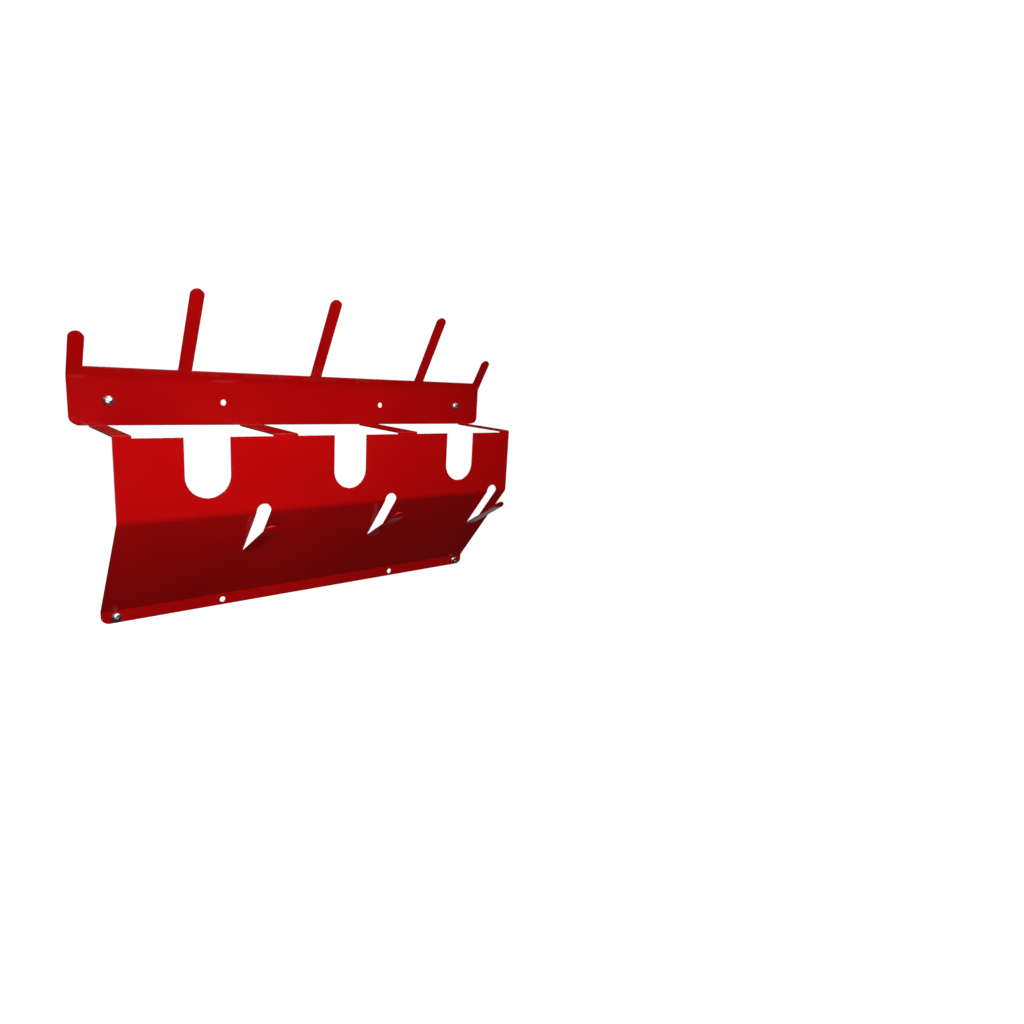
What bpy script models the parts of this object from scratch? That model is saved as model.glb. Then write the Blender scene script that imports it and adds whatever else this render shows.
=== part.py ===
"""Wall holder for three angle grinders: one laser-cut, folded steel sheet and its four wall screws.

The sheet is drawn flat, as the laser cuts it, then folded along a side profile.
X runs along the wall to the right, Y into the wall, Z up.  The wall is the plane Y = 0,
X = 0 is the middle of the holder, and Z = 0 is the line of the upper screws.
Heights in the side profile are counted from the top face of the straps instead.
"""

import math

import bmesh
import bpy
from mathutils import Vector
from mathutils.geometry import delaunay_2d_cdt

# Driving dimensions, in metres
SLOT_PITCH = 0.143
SHEET = 0.0015

# Inside radii of the folds
LIP_FOLD = 0.0060
STRAP_FOLD = 0.0010
PLATE_FOLD = 0.0080
FLANGE_FOLD = 0.0020
HOOK_FOLD = 0.0020

# Wall strip, its leaning lip and the five pegs
STRIP_OVERHANG = 0.0156
STRIP_HEIGHT = 0.0443
CORNER_RADIUS = 0.0075
LIP_HEIGHT = 0.0095
LIP_LEAN = math.radians(31.0)
PEG_WIDTH = 0.0125
PEG_ROOT_RADIUS = 0.0012
PEG_PITCH = 0.136
MIDDLE_PEG = 0.093
LONG_PEG = 0.087
SHORT_PEG = 0.035

# Straps and the openings between them
DEPTH = 0.086
PLATE_END_MARGIN = 0.0758
MIDDLE_OPENING = 0.115
STRAP_WIDTH = 0.0245
END_STRAP_WIDTH = 0.0145

# Front plate with its three grinder slots
PLATE_DROP = 0.0752
SLOT_WIDTHS = (0.0408, 0.0370, 0.0385)
SLOT_DEPTH = 0.0581

# Slanted plate and the bottom flange
FLANGE_DROP = 0.1804
FLANGE_HEIGHT = 0.0125

# Hooks cut out of the slanted plate, each set to the right of its grinder slot
HOOK_SHIFTS = (0.0510, 0.0505, 0.0535)
HOOK_SLOT_WIDTH = 0.0148
HOOK_KERF = 0.0005
HOOK_RISE = 0.0075
HOOK_BASE = 0.063
HOOK_SPREAD = math.radians(20.5)
HOOK_END = 0.0085
HOOK_END_LIFT = math.radians(20.0)
HOOK_END_RADIUS = 0.004

# Screw holes, and the outer ones' margins at the left and right ends
HOLE_DIAMETER = 0.0060
STRIP_SCREW_MARGINS = (0.0323, 0.0369)
FLANGE_SCREW_MARGINS = (0.0133, 0.0118)
STRIP_HOLE_HEIGHT = 0.0226
FLANGE_HOLE_DROP = 0.0068
STRIP_SPARE_LEFT = 0.0985
STRIP_SPARE_RIGHT = 0.085
FLANGE_SPARE = 0.104

# Wall screws
HEAD_DIAMETER = 0.0095
HEAD_HEIGHT = 0.0030
HEAD_EDGE = 0.0009
SHANK_DIAMETER = 0.0048
SHANK_LENGTH = 0.036
POINT_LENGTH = 0.008
SEAT_GAP = 0.0003

# Smoothness of the round stretches
BEND_STEPS = 6
ARC_STEP = math.radians(9.0)
SCREW_SIDES = 32
HEAD_STEPS = 6
SAME_POINT = 1e-6

# Sizes worked out from the ones above
PLATE_END = SLOT_PITCH + PLATE_END_MARGIN
STRIP_END = PLATE_END + STRIP_OVERHANG
UPPER_SCREWS = (STRIP_SCREW_MARGINS[0] - STRIP_END, STRIP_END - STRIP_SCREW_MARGINS[1])
LOWER_SCREWS = (FLANGE_SCREW_MARGINS[0] - PLATE_END, PLATE_END - FLANGE_SCREW_MARGINS[1])
SLOTS = (-SLOT_PITCH, 0.0, SLOT_PITCH)
INNER_STRAP_IN = MIDDLE_OPENING / 2
INNER_STRAP_OUT = INNER_STRAP_IN + STRAP_WIDTH
END_STRAP_IN = PLATE_END - END_STRAP_WIDTH
HOOK_PLACES = tuple(slot + shift for slot, shift in zip(SLOTS, HOOK_SHIFTS))
HOOK_WIDTH = HOOK_SLOT_WIDTH - 2 * HOOK_KERF


class FoldPath:
    """Front face of a folded sheet seen from the side: straight runs joined by bend arcs.

    A run is (heading, length), with the length taken between the corners that the runs
    would meet in.  side is +1 where the front face lies to the left of the heading.
    Points are (distance out from the wall, height).
    """

    def __init__(self, start, runs, insides, side=1):
        self.side = side
        self.pieces = []
        turns = [after[0] - before[0] for before, after in zip(runs, runs[1:])]
        radii = [inside if turn * side > 0 else inside + SHEET for turn, inside in zip(turns, insides)]
        self.setbacks = [radius * math.tan(abs(turn) / 2) for radius, turn in zip(radii, turns)]
        point = Vector(start)
        station = 0.0
        for index, (heading, length) in enumerate(runs):
            before = self.setbacks[index - 1] if index else 0.0
            after = self.setbacks[index] if index < len(turns) else 0.0
            straight = length - before - after
            self.pieces.append(dict(start=station, length=straight, point=point, heading=heading, turn=0.0))
            point = point + straight * self.along(heading)
            station += straight
            if index < len(turns):
                turn = turns[index]
                arc = radii[index] * abs(turn)
                self.pieces.append(dict(start=station, length=arc, point=point, heading=heading,
                                        turn=turn, radius=radii[index]))
                point = self.arc_point(self.pieces[-1], 1.0, 0.0)
                station += arc
        self.length = station

    @staticmethod
    def along(heading):
        return Vector((math.cos(heading), math.sin(heading)))

    def out(self, heading):
        """Direction in which the front face looks."""
        return self.side * Vector((-math.sin(heading), math.cos(heading)))

    def arc_point(self, piece, share, behind):
        """Point at a share of a bend, a distance behind the front face."""
        heading = piece["heading"]
        opens_front = 1.0 if piece["turn"] * self.side > 0 else -1.0
        centre = piece["point"] + opens_front * piece["radius"] * self.out(heading)
        reach = piece["radius"] + opens_front * behind
        return centre - opens_front * reach * self.out(heading + share * piece["turn"])

    def place(self, station, behind):
        """Point of the folded sheet at a station along the flat one, behind its front face."""
        for piece in self.pieces:
            if station <= piece["start"] + piece["length"]:
                break
        offset = station - piece["start"]
        if piece["turn"] == 0.0:
            heading = piece["heading"]
            return piece["point"] + offset * self.along(heading) - behind * self.out(heading)
        steps = offset / piece["length"] * BEND_STEPS
        first = min(int(steps), BEND_STEPS - 1)
        here = self.arc_point(piece, first / BEND_STEPS, behind)
        there = self.arc_point(piece, (first + 1) / BEND_STEPS, behind)
        return here.lerp(there, steps - first)

    def bend_stations(self):
        """Stations of the lines that every bend is folded along."""
        stations = []
        for piece in self.pieces:
            if piece["turn"] != 0.0:
                for step in range(BEND_STEPS + 1):
                    stations.append(piece["start"] + step / BEND_STEPS * piece["length"])
        return stations

    def from_corner(self, corner, distance):
        """Station at a distance past a corner of the profile, counted from 1."""
        return self.pieces[2 * corner]["start"] - self.setbacks[corner - 1] + distance

    def within_fold(self, fold, share):
        """Station at a share of the way round a fold, the folds counted from 1."""
        piece = self.pieces[2 * fold - 1]
        return piece["start"] + share * piece["length"]


def sheet_profile():
    """Side profile from the tip of the longest peg, over every fold, to the flange's edge."""
    lip = LIP_HEIGHT + MIDDLE_PEG
    lean = Vector((math.sin(LIP_LEAN), math.cos(LIP_LEAN)))
    start = Vector((SHEET, STRIP_HEIGHT)) + lip * lean
    slant = Vector((SHEET - DEPTH, PLATE_DROP - FLANGE_DROP))
    down = -math.pi / 2
    runs = (
        (down - LIP_LEAN, lip),
        (down, STRIP_HEIGHT),
        (0.0, DEPTH - SHEET),
        (down, PLATE_DROP),
        (math.atan2(slant.y, slant.x), slant.length),
        (down, FLANGE_HEIGHT),
    )
    return FoldPath(start, runs, (LIP_FOLD, STRAP_FOLD, STRAP_FOLD, PLATE_FOLD, FLANGE_FOLD))


def hook_profile(sheet, base):
    """Side profile of a hook, from its foot in the slanted plate up to its tip."""
    foot = sheet.place(base, 0.0)
    slant = sheet.pieces[-3]["heading"] + math.pi
    full = HOOK_BASE + HOOK_RISE - HOOK_KERF
    bend = HOOK_FOLD * math.tan(HOOK_SPREAD / 2)
    runs = (
        (slant, bend),
        (slant - HOOK_SPREAD, full - HOOK_END),
        (slant - HOOK_SPREAD + HOOK_END_LIFT, HOOK_END),
    )
    return FoldPath(foot, runs, (HOOK_FOLD, HOOK_END_RADIUS), side=-1)


def rounded(corners):
    """Outline through corners given as (x, station, radius), each radius drawn as an arc."""
    outline = []
    count = len(corners)
    for index, (x, station, radius) in enumerate(corners):
        here = Vector((x, station))
        if radius == 0.0:
            outline.append(here)
            continue
        before = (Vector(corners[index - 1][:2]) - here).normalized()
        after = (Vector(corners[(index + 1) % count][:2]) - here).normalized()
        half = before.angle(after) / 2
        centre = here + radius / math.sin(half) * (before + after).normalized()
        first = here + radius / math.tan(half) * before - centre
        sweep = first.angle_signed(here + radius / math.tan(half) * after - centre)
        steps = max(2, math.ceil(abs(sweep) / ARC_STEP))
        for step in range(steps + 1):
            angle = -sweep * step / steps
            turned = Vector((first.x * math.cos(angle) - first.y * math.sin(angle),
                             first.x * math.sin(angle) + first.y * math.cos(angle)))
            outline.append(centre + turned)
    return without_repeats(outline)


def without_repeats(outline):
    kept = []
    for point in outline:
        if not kept or (point - kept[-1]).length > SAME_POINT:
            kept.append(point)
    if (kept[0] - kept[-1]).length <= SAME_POINT:
        kept.pop()
    return kept


def circle(x, station, radius):
    steps = round(2 * math.pi / ARC_STEP / 4) * 4
    points = []
    for step in range(steps):
        angle = 2 * math.pi * step / steps
        points.append(Vector((x + radius * math.cos(angle), station + radius * math.sin(angle))))
    return points


def strip_bottom_station(profile):
    """Station of the strip's lower edge, which is cut a third of the way into the fold to the straps."""
    return profile.within_fold(2, 2 / BEND_STEPS)


def outer_outline(profile):
    """The sheet's cut edge: pegs, strip, straps, plate, slanted plate and flange."""
    fold = LIP_HEIGHT + MIDDLE_PEG
    lip_top = fold - LIP_HEIGHT
    strip_bottom = strip_bottom_station(profile)
    half = PEG_WIDTH / 2
    pegs = (
        (-STRIP_END + half, SHORT_PEG),
        (-PEG_PITCH, LONG_PEG),
        (0.0, MIDDLE_PEG),
        (PEG_PITCH, LONG_PEG),
        (STRIP_END - half, SHORT_PEG),
    )
    corners = []
    for x, length in pegs:
        if x - half > -STRIP_END + SAME_POINT:
            corners.append((x - half, lip_top, PEG_ROOT_RADIUS))
        corners.append((x - half, lip_top - length, half))
        corners.append((x + half, lip_top - length, half))
        if x + half < STRIP_END - SAME_POINT:
            corners.append((x + half, lip_top, PEG_ROOT_RADIUS))
    corners += [
        (STRIP_END, strip_bottom, CORNER_RADIUS),
        (PLATE_END, strip_bottom, 0.0),
        (PLATE_END, profile.length, CORNER_RADIUS),
        (-PLATE_END, profile.length, CORNER_RADIUS),
        (-PLATE_END, strip_bottom, 0.0),
        (-STRIP_END, strip_bottom, CORNER_RADIUS),
    ]
    return rounded(corners)


def opening(profile, slot, width, left, right):
    """Opening between two straps, with the grinder slot that runs down from it."""
    strip_bottom = strip_bottom_station(profile)
    plate_top = profile.from_corner(3, SHEET + STRAP_FOLD)
    slot_end = profile.from_corner(3, SLOT_DEPTH)
    half = width / 2
    return rounded([
        (left, strip_bottom, 0.0),
        (right, strip_bottom, 0.0),
        (right, plate_top, 0.0),
        (slot + half, plate_top, 0.0),
        (slot + half, slot_end, half),
        (slot - half, slot_end, half),
        (slot - half, plate_top, 0.0),
        (left, plate_top, 0.0),
    ])


def hook_cut(x, top, base):
    """The laser's cut round a hook: a narrow kerf up one side, over the tip and down."""
    wide = HOOK_SLOT_WIDTH / 2
    narrow = HOOK_WIDTH / 2
    return rounded([
        (x - wide, base, 0.0),
        (x - wide, top, wide),
        (x + wide, top, wide),
        (x + wide, base, 0.0),
        (x + narrow, base, 0.0),
        (x + narrow, top + HOOK_KERF, narrow),
        (x - narrow, top + HOOK_KERF, narrow),
        (x - narrow, base, 0.0),
    ])


def hook_region(x, top, base):
    """Outline along the middle of the kerf: what lies inside it belongs to the hook."""
    half = (HOOK_WIDTH + HOOK_KERF) / 2
    tip = top + HOOK_KERF / 2
    return rounded([(x - half, base, 0.0), (x - half, tip, half), (x + half, tip, half), (x + half, base, 0.0)])


def screw_holes(profile):
    upper = profile.from_corner(1, STRIP_HEIGHT - STRIP_HOLE_HEIGHT)
    lower = profile.from_corner(5, FLANGE_HOLE_DROP)
    places = [(x, upper) for x in (*UPPER_SCREWS, -STRIP_SPARE_LEFT, STRIP_SPARE_RIGHT)]
    places += [(x, lower) for x in (*LOWER_SCREWS, -FLANGE_SPARE, FLANGE_SPARE)]
    return [circle(x, station, HOLE_DIAMETER / 2) for x, station in places]


def inside(point, outline):
    """True where a flat point lies within a closed outline."""
    found = False
    last = outline[-1]
    for corner in outline:
        if (corner.y > point.y) != (last.y > point.y):
            crossing = last.x + (point.y - last.y) / (corner.y - last.y) * (corner.x - last.x)
            if point.x < crossing:
                found = not found
        last = corner
    return found


def flat_triangles(outline, cuts, fold_lines):
    """Triangles of the flat sheet, none of which crosses a fold line."""
    points = []
    edges = []
    for loop in [outline] + cuts:
        first = len(points)
        points += loop
        edges += [(first + i, first + (i + 1) % len(loop)) for i in range(len(loop))]
    for left, right in fold_lines:
        edges.append((len(points), len(points) + 1))
        points += [left, right]
    found = delaunay_2d_cdt(points, edges, [], 0, SAME_POINT)
    flat, faces = found[0], found[2]
    kept = []
    for face in faces:
        middle = sum((flat[i] for i in face), Vector((0.0, 0.0))) / len(face)
        if inside(middle, outline) and not any(inside(middle, cut) for cut in cuts):
            kept.append(tuple(face))
    return flat, kept


def folded_mesh(name, flat, faces, place):
    """Closed solid from flat triangles: a front layer, a back layer and the cut edge."""
    mesh = bmesh.new()
    layers = []
    used = sorted({i for face in faces for i in face})
    for behind in (0.0, SHEET):
        layers.append({i: mesh.verts.new(place(flat[i], behind)) for i in used})
    sides = {}
    for face in faces:
        mesh.faces.new([layers[0][i] for i in face])
        mesh.faces.new([layers[1][i] for i in reversed(face)])
        for a, b in zip(face, face[1:] + face[:1]):
            sides[(a, b)] = sides.get((a, b), 0) + 1
    for a, b in sides:
        if (b, a) not in sides:
            mesh.faces.new((layers[0][b], layers[0][a], layers[1][a]))
            mesh.faces.new((layers[0][b], layers[1][a], layers[1][b]))
    bmesh.ops.recalc_face_normals(mesh, faces=mesh.faces)
    data = bpy.data.meshes.new(name)
    mesh.to_mesh(data)
    mesh.free()
    data.shade_smooth()
    data.set_sharp_from_angle(angle=math.radians(32.0))
    return data


def holder_mesh():
    profile = sheet_profile()
    base = profile.from_corner(4, HOOK_BASE)
    top = profile.from_corner(4, 0.0) - HOOK_RISE
    hook = hook_profile(profile, base)

    cuts = [
        opening(profile, SLOTS[0], SLOT_WIDTHS[0], -END_STRAP_IN, -INNER_STRAP_OUT),
        opening(profile, SLOTS[1], SLOT_WIDTHS[1], -INNER_STRAP_IN, INNER_STRAP_IN),
        opening(profile, SLOTS[2], SLOT_WIDTHS[2], INNER_STRAP_OUT, END_STRAP_IN),
    ]
    cuts += [hook_cut(x, top, base) for x in HOOK_PLACES]
    cuts += screw_holes(profile)

    reach = STRIP_END + CORNER_RADIUS
    fold_lines = [(Vector((-reach, s)), Vector((reach, s))) for s in profile.bend_stations()]
    across = (HOOK_WIDTH + HOOK_KERF) / 2
    for x in HOOK_PLACES:
        for s in hook.bend_stations():
            fold_lines.append((Vector((x - across, base - s)), Vector((x + across, base - s))))
    regions = [hook_region(x, top, base) for x in HOOK_PLACES]

    def place(point, behind):
        """Place of a flat point on the folded sheet, on a hook's own profile where it is one's."""
        if any(inside(point, region) for region in regions):
            out, height = hook.place(base - point.y, behind)
        else:
            out, height = profile.place(point.y, behind)
        return (point.x, -out, height - STRIP_HOLE_HEIGHT)

    flat, faces = flat_triangles(outer_outline(profile), cuts, fold_lines)
    return folded_mesh("holder_sheet", flat, faces, place)


def screw_mesh():
    """Pan head screw along +Y, turned round its axis, with the underside of its head at Y = 0."""
    radius = HEAD_DIAMETER / 2
    outline = [(0.0, -HEAD_HEIGHT)]
    for step in range(1, HEAD_STEPS + 1):
        angle = math.pi / 2 * step / HEAD_STEPS
        outline.append((radius * math.sin(angle), -HEAD_EDGE - (HEAD_HEIGHT - HEAD_EDGE) * math.cos(angle)))
    outline += [
        (radius, 0.0),
        (SHANK_DIAMETER / 2, 0.0),
        (SHANK_DIAMETER / 2, SHANK_LENGTH - POINT_LENGTH),
        (0.0, SHANK_LENGTH),
    ]
    mesh = bmesh.new()
    verts = [mesh.verts.new((r, y, 0.0)) for r, y in outline]
    edges = [mesh.edges.new(pair) for pair in zip(verts, verts[1:])]
    bmesh.ops.spin(mesh, geom=verts + edges, cent=(0.0, 0.0, 0.0), axis=(0.0, 1.0, 0.0),
                   angle=2 * math.pi, steps=SCREW_SIDES)
    bmesh.ops.remove_doubles(mesh, verts=mesh.verts, dist=SAME_POINT)
    bmesh.ops.recalc_face_normals(mesh, faces=mesh.faces)
    data = bpy.data.meshes.new("wall_screw")
    mesh.to_mesh(data)
    mesh.free()
    data.shade_smooth()
    data.set_sharp_from_angle(angle=math.radians(32.0))
    return data


def painted_steel():
    """Glossy red powder coat."""
    return plain_material("red_powder_coat", (0.52, 0.004, 0.004), 0.28, 0.0)


def zinc():
    """Bright zinc plating."""
    return plain_material("bright_zinc", (0.72, 0.72, 0.70), 0.22, 1.0)


def plain_material(name, colour, roughness, metallic):
    material = bpy.data.materials.new(name)
    material.use_nodes = True
    shader = material.node_tree.nodes["Principled BSDF"]
    shader.inputs["Base Color"].default_value = (*colour, 1.0)
    shader.inputs["Roughness"].default_value = roughness
    shader.inputs["Metallic"].default_value = metallic
    return material


def add_object(name, mesh, material, location=(0.0, 0.0, 0.0)):
    thing = bpy.data.objects.new(name, mesh)
    bpy.context.scene.collection.objects.link(thing)
    if not mesh.materials:
        mesh.materials.append(material)
    thing.location = location
    return thing


def add_screws():
    mesh = screw_mesh()
    material = zinc()
    seat = -SHEET - SEAT_GAP
    lower = -STRIP_HOLE_HEIGHT - FLANGE_DROP - FLANGE_HOLE_DROP
    for row, places, height in (("upper", UPPER_SCREWS, 0.0), ("lower", LOWER_SCREWS, lower)):
        for side, x in zip(("left", "right"), places):
            add_object(f"{row}_{side}_screw", mesh, material, (x, seat, height))


def clear_scene():
    for thing in list(bpy.data.objects):
        bpy.data.objects.remove(thing)


def build():
    clear_scene()
    add_object("holder_sheet", holder_mesh(), painted_steel())
    add_screws()


build()
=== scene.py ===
"""Look of the angle grinder wall holder: glossy red powder coat and bright zinc screws, in a plain studio.

All lengths are in metres, in the CAD frame: X along the wall, Y into the wall, Z up.
"""

import math

import bmesh
import bpy
from mathutils import Matrix, Vector


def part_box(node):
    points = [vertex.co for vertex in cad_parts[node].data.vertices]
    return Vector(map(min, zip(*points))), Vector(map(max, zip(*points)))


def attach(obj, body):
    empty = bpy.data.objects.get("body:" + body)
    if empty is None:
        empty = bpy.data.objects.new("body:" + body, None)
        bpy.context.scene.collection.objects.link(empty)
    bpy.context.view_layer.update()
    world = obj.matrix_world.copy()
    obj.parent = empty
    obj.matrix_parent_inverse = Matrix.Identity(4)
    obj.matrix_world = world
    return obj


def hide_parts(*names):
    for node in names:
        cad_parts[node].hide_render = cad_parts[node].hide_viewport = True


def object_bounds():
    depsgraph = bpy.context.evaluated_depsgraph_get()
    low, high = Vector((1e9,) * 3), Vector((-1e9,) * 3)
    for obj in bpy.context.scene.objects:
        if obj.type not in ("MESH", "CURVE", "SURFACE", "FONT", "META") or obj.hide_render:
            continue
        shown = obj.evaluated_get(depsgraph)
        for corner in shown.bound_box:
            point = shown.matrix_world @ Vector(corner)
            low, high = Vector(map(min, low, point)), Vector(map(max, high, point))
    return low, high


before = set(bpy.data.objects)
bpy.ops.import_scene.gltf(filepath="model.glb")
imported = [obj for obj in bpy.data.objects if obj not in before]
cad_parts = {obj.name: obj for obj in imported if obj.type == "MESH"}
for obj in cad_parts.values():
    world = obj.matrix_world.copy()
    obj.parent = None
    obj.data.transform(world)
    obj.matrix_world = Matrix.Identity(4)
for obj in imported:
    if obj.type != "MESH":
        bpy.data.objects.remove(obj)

cad_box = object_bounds()

# Camera, as solved from the photograph's empty view, with its focal length as a share of the sensor's width
CAMERA_PLACE = Vector((-0.35304, -0.72087, 0.05066))
CAMERA_YAW = math.radians(42.695)
CAMERA_PITCH = math.radians(-11.683)
CAMERA_ROLL = math.radians(-3.703)
FOCAL_SHARE = 0.66737
NEAREST_SEEN = 0.01

# Screw heads: dome, rounded rim and cross recess
HEAD_RADIUS = 0.00475
HEAD_HEIGHT = 0.0030
HEAD_RIM = 0.0008
HEAD_SIDES = 64
DOME_STEPS = 14
RECESS_REACH = 0.0025
RECESS_HALF_WIDTH = 0.00055
RECESS_DEPTH = 0.0018

# Underside of the rim: shares of the head's radius and of the rim's height
RIM_ROUNDING = ((1.0, 0.35), (0.985, 0.1), (0.96, 0.0))

# The recess cutter starts just over the head, and narrows to these shares of its reach and width
CUTTER_START = HEAD_HEIGHT * 1.1
TIP_REACH = 0.42
TIP_WIDTH = 0.7

# Screw shanks: neck, thread and point
SHANK_RADIUS = 0.0024
SHANK_CORE = 0.0018
SHANK_LENGTH = 0.036
SHANK_SIDES = 28
SHANK_ROWS = 250
NECK_RADIUS = SHANK_RADIUS * 0.97
NECK_LENGTH = 0.005
POINT_LENGTH = 0.008
THREAD_PITCH = 0.0019
CREST_HALF_WIDTH = 0.22
SHARP_EDGE = math.radians(34.0)

# How far each screw is turned in its hole, in degrees
SCREW_TURNS = {
    "upper_left_screw": 14,
    "upper_right_screw": 51,
    "lower_left_screw": 77,
    "lower_right_screw": 32,
}

# Powder coat: colours, roughness, and the strength and depth of its orange peel
COAT_DEEP = (0.455, 0.0015, 0.0020)
COAT_BRIGHT = (0.500, 0.0022, 0.0028)
COAT_GRAIN = (0.58, 0.004, 0.004)
COAT_RUBBED = (0.36, 0.045, 0.040)
COAT_ROUGHNESS = (0.09, 0.13)
COAT_SPECULAR = 0.35
PEEL_STRENGTH = 0.10
PEEL_DEPTH = 0.00012

# Powder coat's cut edges: their rounding, and the agreement of the normals off an edge and on it
EDGE_RADIUS = 0.0007
EDGE_SAMPLES = 6
EDGE_AGREEMENT = (0.995, 0.80)

# Noise patterns of the coat and of the zinc, in cells per metre
COAT_CLOUDS = 9.0
COAT_GLOSS = 38.0
COAT_RUBS = 420.0
COAT_PEEL = 520.0
COAT_GRAINS = 2600.0
ZINC_MOTTLE = 700.0
ZINC_SHINE = 1800.0
ZINC_MARKS = 3200.0

# The part of a noise's range that is spread over the whole effect, and the strongest effect of two of them
BROAD_RANGE = (0.30, 0.70)
CLOUD_RANGE = (0.35, 0.65)
GRAIN_RANGE = (0.35, 0.75)
RUB_RANGE = (0.50, 0.62)
GRAIN_SHARE = 0.10
RUB_SHARE = 0.55

# Zinc: colours, roughness, and the strength and depth of its turning marks
ZINC_DULL = (0.60, 0.61, 0.60)
ZINC_BRIGHT = (0.78, 0.79, 0.80)
ZINC_ROUGHNESS = (0.16, 0.32)
MARK_STRENGTH = 0.12
MARK_DEPTH = 0.00005

# The coat's normal turns from the wall strip to its leaning lip: a share of the way between the low
# height and the middle one, and the rest between the middle one and the high one. It does so above the
# strip's foot only, and on faces whose Y looks to the front
LIP_LEAN = math.radians(31.0)
TURN_LOW = -0.008
TURN_MIDDLE = 0.018
TURN_HIGH = 0.0265
TURN_SHARE = 0.20
STRIP_FOOT = (-0.030, -0.026)
FRONT_FACING = (-0.65, -0.80)

# Floor
FLOOR_DROP = 0.42
FLOOR_SIZE = 60.0
FLOOR_COLOUR = (0.80, 0.80, 0.79, 1.0)
FLOOR_ROUGHNESS = 0.7
FLOOR_GLOW = 0.92

# Room: its even light, and the directions and the brightness of the ceiling and the low wall in reflections
WHITE = (1.0, 1.0, 1.0, 1.0)
EVEN_LIGHT = 0.10
CEILING_RISE = (0.22, 0.50)
CEILING_GLOW = (0.02, 0.45)
WALL_RIGHT = (0.36, 0.66)
WALL_BEHIND = (0.25, 0.45)
WALL_DROP = (-0.10, -0.30)
WALL_GLOW = 0.34

# Lights: place, point that each faces, width and height, and power in watts
LIGHTS = {
    "key_light": ((0.00, -0.48, 0.20), (-0.03, -0.05, -0.05), (0.30, 0.30), 1.42),
    "side_light": ((-0.25, -0.42, 0.065), (-0.02, -0.08, -0.07), (0.12, 0.12), 0.66),
    "low_light": ((-0.27, -0.42, -0.14), (0.00, -0.06, -0.12), (0.15, 0.15), 0.23),
    "top_light": ((0.10, -0.35, 1.30), (0.0, -0.05, -0.05), (1.0, 0.4), 3.5),
    "back_light": ((0.40, 0.95, 0.30), (0.0, 0.0, -0.05), (0.7, 0.7), 6.5),
}


def node(tree, kind, inputs=None, **settings):
    """A new node, with values for its inputs and its settings."""
    made = tree.nodes.new(kind)
    for key, value in settings.items():
        setattr(made, key, value)
    for key, value in (inputs or {}).items():
        made.inputs[key].default_value = value
    return made


def noise(tree, place, scale, detail, roughness=0.5):
    made = node(tree, "ShaderNodeTexNoise", {"Scale": scale, "Detail": detail, "Roughness": roughness})
    tree.links.new(place, made.inputs["Vector"])
    return made.outputs["Fac"]


def spread(tree, value, given, wanted=(0.0, 1.0)):
    """Maps one range of a value onto another, clamped to its ends."""
    made = node(tree, "ShaderNodeMapRange", {
        "From Min": given[0],
        "From Max": given[1],
        "To Min": wanted[0],
        "To Max": wanted[1],
    })
    tree.links.new(value, made.inputs["Value"])
    return made.outputs["Result"]


def combine(tree, operation, first, second):
    """One sum or product of two sockets."""
    made = node(tree, "ShaderNodeMath", operation=operation)
    tree.links.new(first, made.inputs[0])
    tree.links.new(second, made.inputs[1])
    return made.outputs[0]


def blend(tree, factor, first, second):
    """Mix of two colours, each a constant or a socket."""
    made = node(tree, "ShaderNodeMix", data_type="RGBA")
    tree.links.new(factor, made.inputs["Factor"])
    for socket, colour in ((made.inputs[6], first), (made.inputs[7], second)):
        if isinstance(colour, tuple):
            socket.default_value = (*colour, 1.0)
        else:
            tree.links.new(colour, socket)
    return made.outputs[2]


def axes(tree, vector):
    """The X, Y and Z of a vector."""
    made = node(tree, "ShaderNodeSeparateXYZ")
    tree.links.new(vector, made.inputs["Vector"])
    return made.outputs


def bump(tree, height, strength, depth):
    """Bump node over a pattern of heights."""
    made = node(tree, "ShaderNodeBump", {"Strength": strength, "Distance": depth})
    tree.links.new(height, made.inputs["Height"])
    return made


def new_material(name):
    """A new material, with its node tree and its shader."""
    material = bpy.data.materials.new(name)
    material.use_nodes = True
    return material, material.node_tree, material.node_tree.nodes["Principled BSDF"]


def rounded_edges(tree):
    """A normal rounded along the sheet's edges, and a mask of 1 on sharp cut edges and 0 off them."""
    rounded = node(tree, "ShaderNodeBevel", {"Radius": EDGE_RADIUS}, samples=EDGE_SAMPLES)
    flat = node(tree, "ShaderNodeNewGeometry")
    agree = node(tree, "ShaderNodeVectorMath", operation="DOT_PRODUCT")
    tree.links.new(rounded.outputs["Normal"], agree.inputs[0])
    tree.links.new(flat.outputs["True Normal"], agree.inputs[1])
    return rounded.outputs["Normal"], spread(tree, agree.outputs["Value"], EDGE_AGREEMENT)


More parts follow.
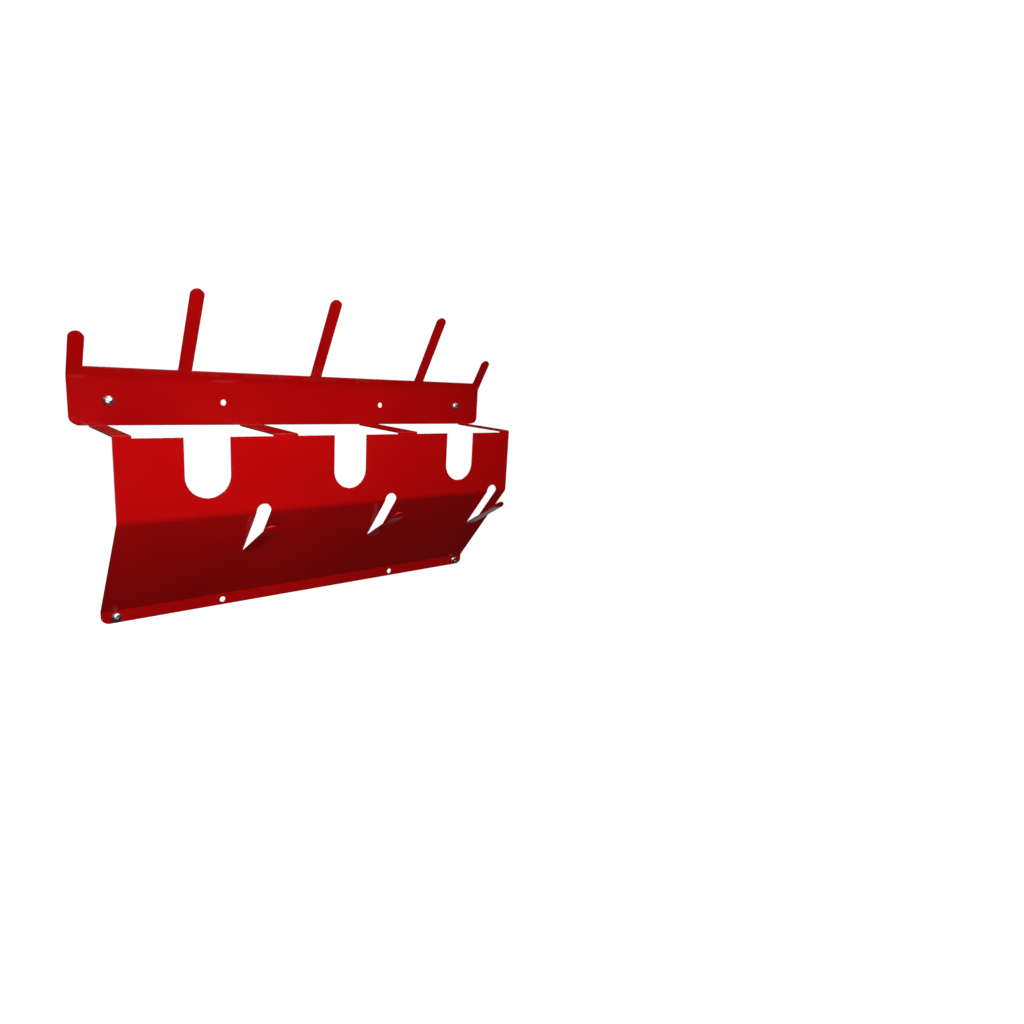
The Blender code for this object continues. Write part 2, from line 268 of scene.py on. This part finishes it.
def strip_normal(tree, coordinates, rounded):
    """The rounded normal, but turning evenly up the front face from the wall strip to its leaning lip."""
    height = axes(tree, coordinates.outputs["Object"])["Z"]
    facing = axes(tree, coordinates.outputs["Normal"])["Y"]
    on_strip = combine(tree, "MULTIPLY", spread(tree, facing, FRONT_FACING), spread(tree, height, STRIP_FOOT))
    slow = spread(tree, height, (TURN_LOW, TURN_MIDDLE), (0.0, TURN_SHARE))
    fast = spread(tree, height, (TURN_MIDDLE, TURN_HIGH), (0.0, 1.0 - TURN_SHARE))
    even = node(tree, "ShaderNodeMix", data_type="VECTOR")
    tree.links.new(combine(tree, "ADD", slow, fast), even.inputs["Factor"])
    even.inputs[4].default_value = (0.0, -1.0, 0.0)
    even.inputs[5].default_value = (0.0, -math.cos(LIP_LEAN), -math.sin(LIP_LEAN))
    chosen = node(tree, "ShaderNodeMix", data_type="VECTOR")
    tree.links.new(on_strip, chosen.inputs["Factor"])
    tree.links.new(rounded, chosen.inputs[4])
    tree.links.new(even.outputs[1], chosen.inputs[5])
    unit = node(tree, "ShaderNodeVectorMath", operation="NORMALIZE")
    tree.links.new(chosen.outputs[1], unit.inputs[0])
    return unit.outputs["Vector"]


def powder_coat():
    """Glossy red powder coat: orange peel, uneven gloss, thin and rubbed along the cut edges."""
    material, tree, shader = new_material("red_powder_coat")
    coordinates = node(tree, "ShaderNodeTexCoord")
    place = coordinates.outputs["Object"]
    rounded, edge = rounded_edges(tree)

    clouds = spread(tree, noise(tree, place, COAT_CLOUDS, detail=3.0), CLOUD_RANGE)
    coat = blend(tree, clouds, COAT_DEEP, COAT_BRIGHT)
    grains = spread(tree, noise(tree, place, COAT_GRAINS, detail=2.0), GRAIN_RANGE, (0.0, GRAIN_SHARE))
    coat = blend(tree, grains, coat, COAT_GRAIN)
    rubs = noise(tree, place, COAT_RUBS, detail=4.0, roughness=0.65)
    rubbed = combine(tree, "MULTIPLY", edge, spread(tree, rubs, RUB_RANGE, (0.0, RUB_SHARE)))
    coat = blend(tree, rubbed, coat, COAT_RUBBED)
    tree.links.new(coat, shader.inputs["Base Color"])

    gloss = noise(tree, place, COAT_GLOSS, detail=5.0, roughness=0.6)
    tree.links.new(spread(tree, gloss, BROAD_RANGE, COAT_ROUGHNESS), shader.inputs["Roughness"])
    shader.inputs["Specular IOR Level"].default_value = COAT_SPECULAR

    peel = bump(tree, noise(tree, place, COAT_PEEL, detail=2.0, roughness=0.45), PEEL_STRENGTH, PEEL_DEPTH)
    tree.links.new(strip_normal(tree, coordinates, rounded), peel.inputs["Normal"])
    tree.links.new(peel.outputs["Normal"], shader.inputs["Normal"])
    return material


def zinc_plate():
    """Bright zinc: silvery, faintly mottled, with fine turning marks."""
    material, tree, shader = new_material("bright_zinc")
    place = node(tree, "ShaderNodeTexCoord").outputs["Object"]
    mottle = spread(tree, noise(tree, place, ZINC_MOTTLE, detail=4.0), CLOUD_RANGE)
    tree.links.new(blend(tree, mottle, ZINC_DULL, ZINC_BRIGHT), shader.inputs["Base Color"])
    shine = noise(tree, place, ZINC_SHINE, detail=3.0)
    tree.links.new(spread(tree, shine, BROAD_RANGE, ZINC_ROUGHNESS), shader.inputs["Roughness"])
    shader.inputs["Metallic"].default_value = 1.0
    marks = bump(tree, noise(tree, place, ZINC_MARKS, detail=2.0), MARK_STRENGTH, MARK_DEPTH)
    tree.links.new(marks.outputs["Normal"], shader.inputs["Normal"])
    return material


def link(name, data):
    """A new object in the scene."""
    thing = bpy.data.objects.new(name, data)
    bpy.context.scene.collection.objects.link(thing)
    return thing


def finished(mesh, name):
    """Turns a bmesh into mesh data, its faces all outward."""
    bmesh.ops.recalc_face_normals(mesh, faces=mesh.faces)
    data = bpy.data.meshes.new(name)
    mesh.to_mesh(data)
    mesh.free()
    return data


def add_ring(mesh, y, sides, radius_at):
    """A ring of vertices round the Y axis, with a radius for each angle."""
    ring = []
    for side in range(sides):
        angle = 2 * math.pi * side / sides
        radius = radius_at(angle)
        ring.append(mesh.verts.new((radius * math.cos(angle), y, radius * math.sin(angle))))
    return ring


def join_rings(mesh, upper, lower):
    """Faces between two rings of the same count, either of which may be one single point."""
    sides = max(len(upper), len(lower))
    for side in range(sides):
        after = (side + 1) % sides
        corners = (
            upper[side % len(upper)],
            upper[after % len(upper)],
            lower[after % len(lower)],
            lower[side % len(lower)],
        )
        mesh.faces.new(list(dict.fromkeys(corners)))


def head_mesh():
    """Domed head with a rounded rim, its underside at Y = 0."""
    mesh = bmesh.new()
    outline = []
    for step in range(1, DOME_STEPS + 1):
        angle = math.pi / 2 * step / DOME_STEPS
        dome = (HEAD_HEIGHT - HEAD_RIM) * math.cos(angle)
        outline.append((HEAD_RADIUS * math.sin(angle), -HEAD_RIM - dome))
    for across, up in RIM_ROUNDING:
        outline.append((HEAD_RADIUS * across, -HEAD_RIM * up))
    rings = [[mesh.verts.new((0.0, -HEAD_HEIGHT, 0.0))]]
    for radius, y in outline:
        rings.append(add_ring(mesh, y, HEAD_SIDES, lambda angle: radius))
    rings.append([mesh.verts.new((0.0, 0.0, 0.0))])
    for upper, lower in zip(rings, rings[1:]):
        join_rings(mesh, upper, lower)
    return finished(mesh, "screw_head")


def cross_ring(mesh, y, reach, half):
    """A cross-shaped ring of vertices round the Y axis."""
    ring = []
    for quarter in range(4):
        turn = Matrix.Rotation(-math.pi / 2 * quarter, 4, "Y")
        for x, z in ((half, half), (half, reach), (-half, reach)):
            ring.append(mesh.verts.new(turn @ Vector((x, y, z))))
    return ring


def recess_cutter():
    """Cross-shaped, tapered cutter for the driver recess."""
    mesh = bmesh.new()
    mouth = cross_ring(mesh, -CUTTER_START, RECESS_REACH, RECESS_HALF_WIDTH)
    tip_half = RECESS_HALF_WIDTH * TIP_WIDTH
    tip = cross_ring(mesh, RECESS_DEPTH - HEAD_HEIGHT, RECESS_REACH * TIP_REACH, tip_half)
    join_rings(mesh, mouth, tip)
    for ring in (mouth, tip):
        mesh.faces.new(ring)
    return finished(mesh, "recess_cutter")


def cut_head():
    """The head with its recess cut out."""
    head = link("head_blank", head_mesh())
    cutter = link("cross_cutter", recess_cutter())
    cut = head.modifiers.new("recess", "BOOLEAN")
    cut.operation = "DIFFERENCE"
    cut.solver = "EXACT"
    cut.object = cutter
    bpy.context.view_layer.update()
    view = bpy.context.evaluated_depsgraph_get()
    data = bpy.data.meshes.new_from_object(head.evaluated_get(view))
    for thing in (head, cutter):
        bpy.data.objects.remove(thing)
    return data


def shank_radius(y, angle):
    """Radius of the threaded shank at a depth and an angle round it."""
    if y < NECK_LENGTH:
        return NECK_RADIUS
    taper = min(1.0, (SHANK_LENGTH - y) / POINT_LENGTH)
    phase = (y / THREAD_PITCH - angle / (2 * math.pi)) % 1.0
    crest = max(0.0, 1.0 - abs(phase - 0.5) / CREST_HALF_WIDTH)
    start = min(1.0, (y - NECK_LENGTH) / THREAD_PITCH)
    core = NECK_RADIUS + (SHANK_CORE - NECK_RADIUS) * start
    return taper * (core + (SHANK_RADIUS - core) * crest)


def add_shank(mesh):
    """Shank with one unbroken helical thread, running out to a point."""
    rings = []
    for row in range(SHANK_ROWS):
        y = SHANK_LENGTH * row / SHANK_ROWS
        rings.append(add_ring(mesh, y, SHANK_SIDES, lambda angle: shank_radius(y, angle)))
    for upper, lower in zip(rings, rings[1:]):
        join_rings(mesh, upper, lower)
    join_rings(mesh, rings[-1], [mesh.verts.new((0.0, SHANK_LENGTH, 0.0))])
    mesh.faces.new(rings[0])


def screw_mesh():
    """One whole screw, its head's underside at Y = 0."""
    mesh = bmesh.new()
    mesh.from_mesh(cut_head())
    add_shank(mesh)
    data = finished(mesh, "detailed_screw")
    data.shade_smooth()
    data.set_sharp_from_angle(angle=SHARP_EDGE)
    return data


def dress_screws():
    """Detailed screws in place of the four plain ones, each turned its own way."""
    straight = screw_mesh()
    straight.materials.append(zinc_plate())
    for name, turn in SCREW_TURNS.items():
        low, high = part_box(name)
        mesh = straight.copy()
        mesh.transform(Matrix.Rotation(math.radians(turn), 4, "Y"))
        screw = link(name.replace("_screw", "_pan_head_screw"), mesh)
        screw.location = ((low.x + high.x) / 2, low.y + HEAD_HEIGHT, (low.z + high.z) / 2)
        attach(screw, "root")
        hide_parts(name)


def dress_holder():
    """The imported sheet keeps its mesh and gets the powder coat."""
    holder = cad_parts["holder_sheet"]
    holder.data.materials.clear()
    holder.data.materials.append(powder_coat())


def add_floor():
    """Pale floor, kept out of the object's reflections and bounced light."""
    material, tree, shader = new_material("pale_floor")
    shader.inputs["Base Color"].default_value = FLOOR_COLOUR
    shader.inputs["Roughness"].default_value = FLOOR_ROUGHNESS
    shader.inputs["Emission Color"].default_value = WHITE
    shader.inputs["Emission Strength"].default_value = FLOOR_GLOW
    half = FLOOR_SIZE / 2
    height = cad_box[0].z - FLOOR_DROP
    corners = [(x, y, height) for x, y in ((-half, -half), (half, -half), (half, half), (-half, half))]
    mesh = bpy.data.meshes.new("floor")
    mesh.from_pydata(corners, [], [(0, 1, 2, 3)])
    mesh.materials.append(material)
    floor = link("floor", mesh)
    floor.visible_diffuse = False
    floor.visible_glossy = False


def add_light(name, place, target, size, power):
    """Soft area light, turned to its target."""
    light = bpy.data.lights.new(name, "AREA")
    light.shape = "RECTANGLE"
    light.size, light.size_y = size
    light.energy = power
    lamp = link(name, light)
    lamp.location = place
    lamp.rotation_mode = "QUATERNION"
    lamp.rotation_quaternion = (Vector(target) - Vector(place)).to_track_quat("-Z", "Y")


def add_world():
    """White behind the object, a dim even light on it, and a ceiling and a low wall in its reflections."""
    world = bpy.data.worlds.new("studio")
    world.use_nodes = True
    tree = world.node_tree
    path = node(tree, "ShaderNodeLightPath")
    heading = axes(tree, node(tree, "ShaderNodeTexCoord").outputs["Generated"])
    ceiling = spread(tree, heading["Z"], CEILING_RISE, CEILING_GLOW)
    wall = combine(tree, "MULTIPLY", spread(tree, heading["Y"], WALL_BEHIND),
                   spread(tree, heading["Z"], WALL_DROP, (0.0, WALL_GLOW)))
    wall = combine(tree, "MULTIPLY", wall, spread(tree, heading["X"], WALL_RIGHT))
    lit = node(tree, "ShaderNodeMix", {"A": EVEN_LIGHT}, data_type="FLOAT")
    tree.links.new(path.outputs["Is Glossy Ray"], lit.inputs["Factor"])
    tree.links.new(combine(tree, "ADD", ceiling, wall), lit.inputs["B"])
    strength = combine(tree, "ADD", lit.outputs["Result"], path.outputs["Is Camera Ray"])
    backdrop = tree.nodes["Background"]
    backdrop.inputs["Color"].default_value = WHITE
    tree.links.new(strength, backdrop.inputs["Strength"])
    bpy.context.scene.world = world


def add_camera():
    """Camera from its yaw, pitch and roll, looking along its own -Z with +Y up."""
    ahead = Vector((
        math.sin(CAMERA_YAW) * math.cos(CAMERA_PITCH),
        math.cos(CAMERA_YAW) * math.cos(CAMERA_PITCH),
        math.sin(CAMERA_PITCH),
    ))
    level = Vector((math.cos(CAMERA_YAW), -math.sin(CAMERA_YAW), 0.0))
    down = ahead.cross(level)
    right = math.cos(CAMERA_ROLL) * level + math.sin(CAMERA_ROLL) * down
    below = -math.sin(CAMERA_ROLL) * level + math.cos(CAMERA_ROLL) * down
    turn = Matrix((right, -below, -ahead)).transposed()
    camera = link("camera", bpy.data.cameras.new("camera"))
    camera.matrix_world = Matrix.Translation(CAMERA_PLACE) @ turn.to_4x4()
    camera.data.sensor_fit = "HORIZONTAL"
    camera.data.lens = FOCAL_SHARE * camera.data.sensor_width
    camera.data.clip_start = NEAREST_SEEN
    bpy.context.scene.camera = camera


dress_holder()
dress_screws()
add_floor()
add_world()
for name, (place, target, size, power) in LIGHTS.items():
    add_light(name, place, target, size, power)
add_camera()
bpy.context.scene.view_settings.view_transform = "Standard"
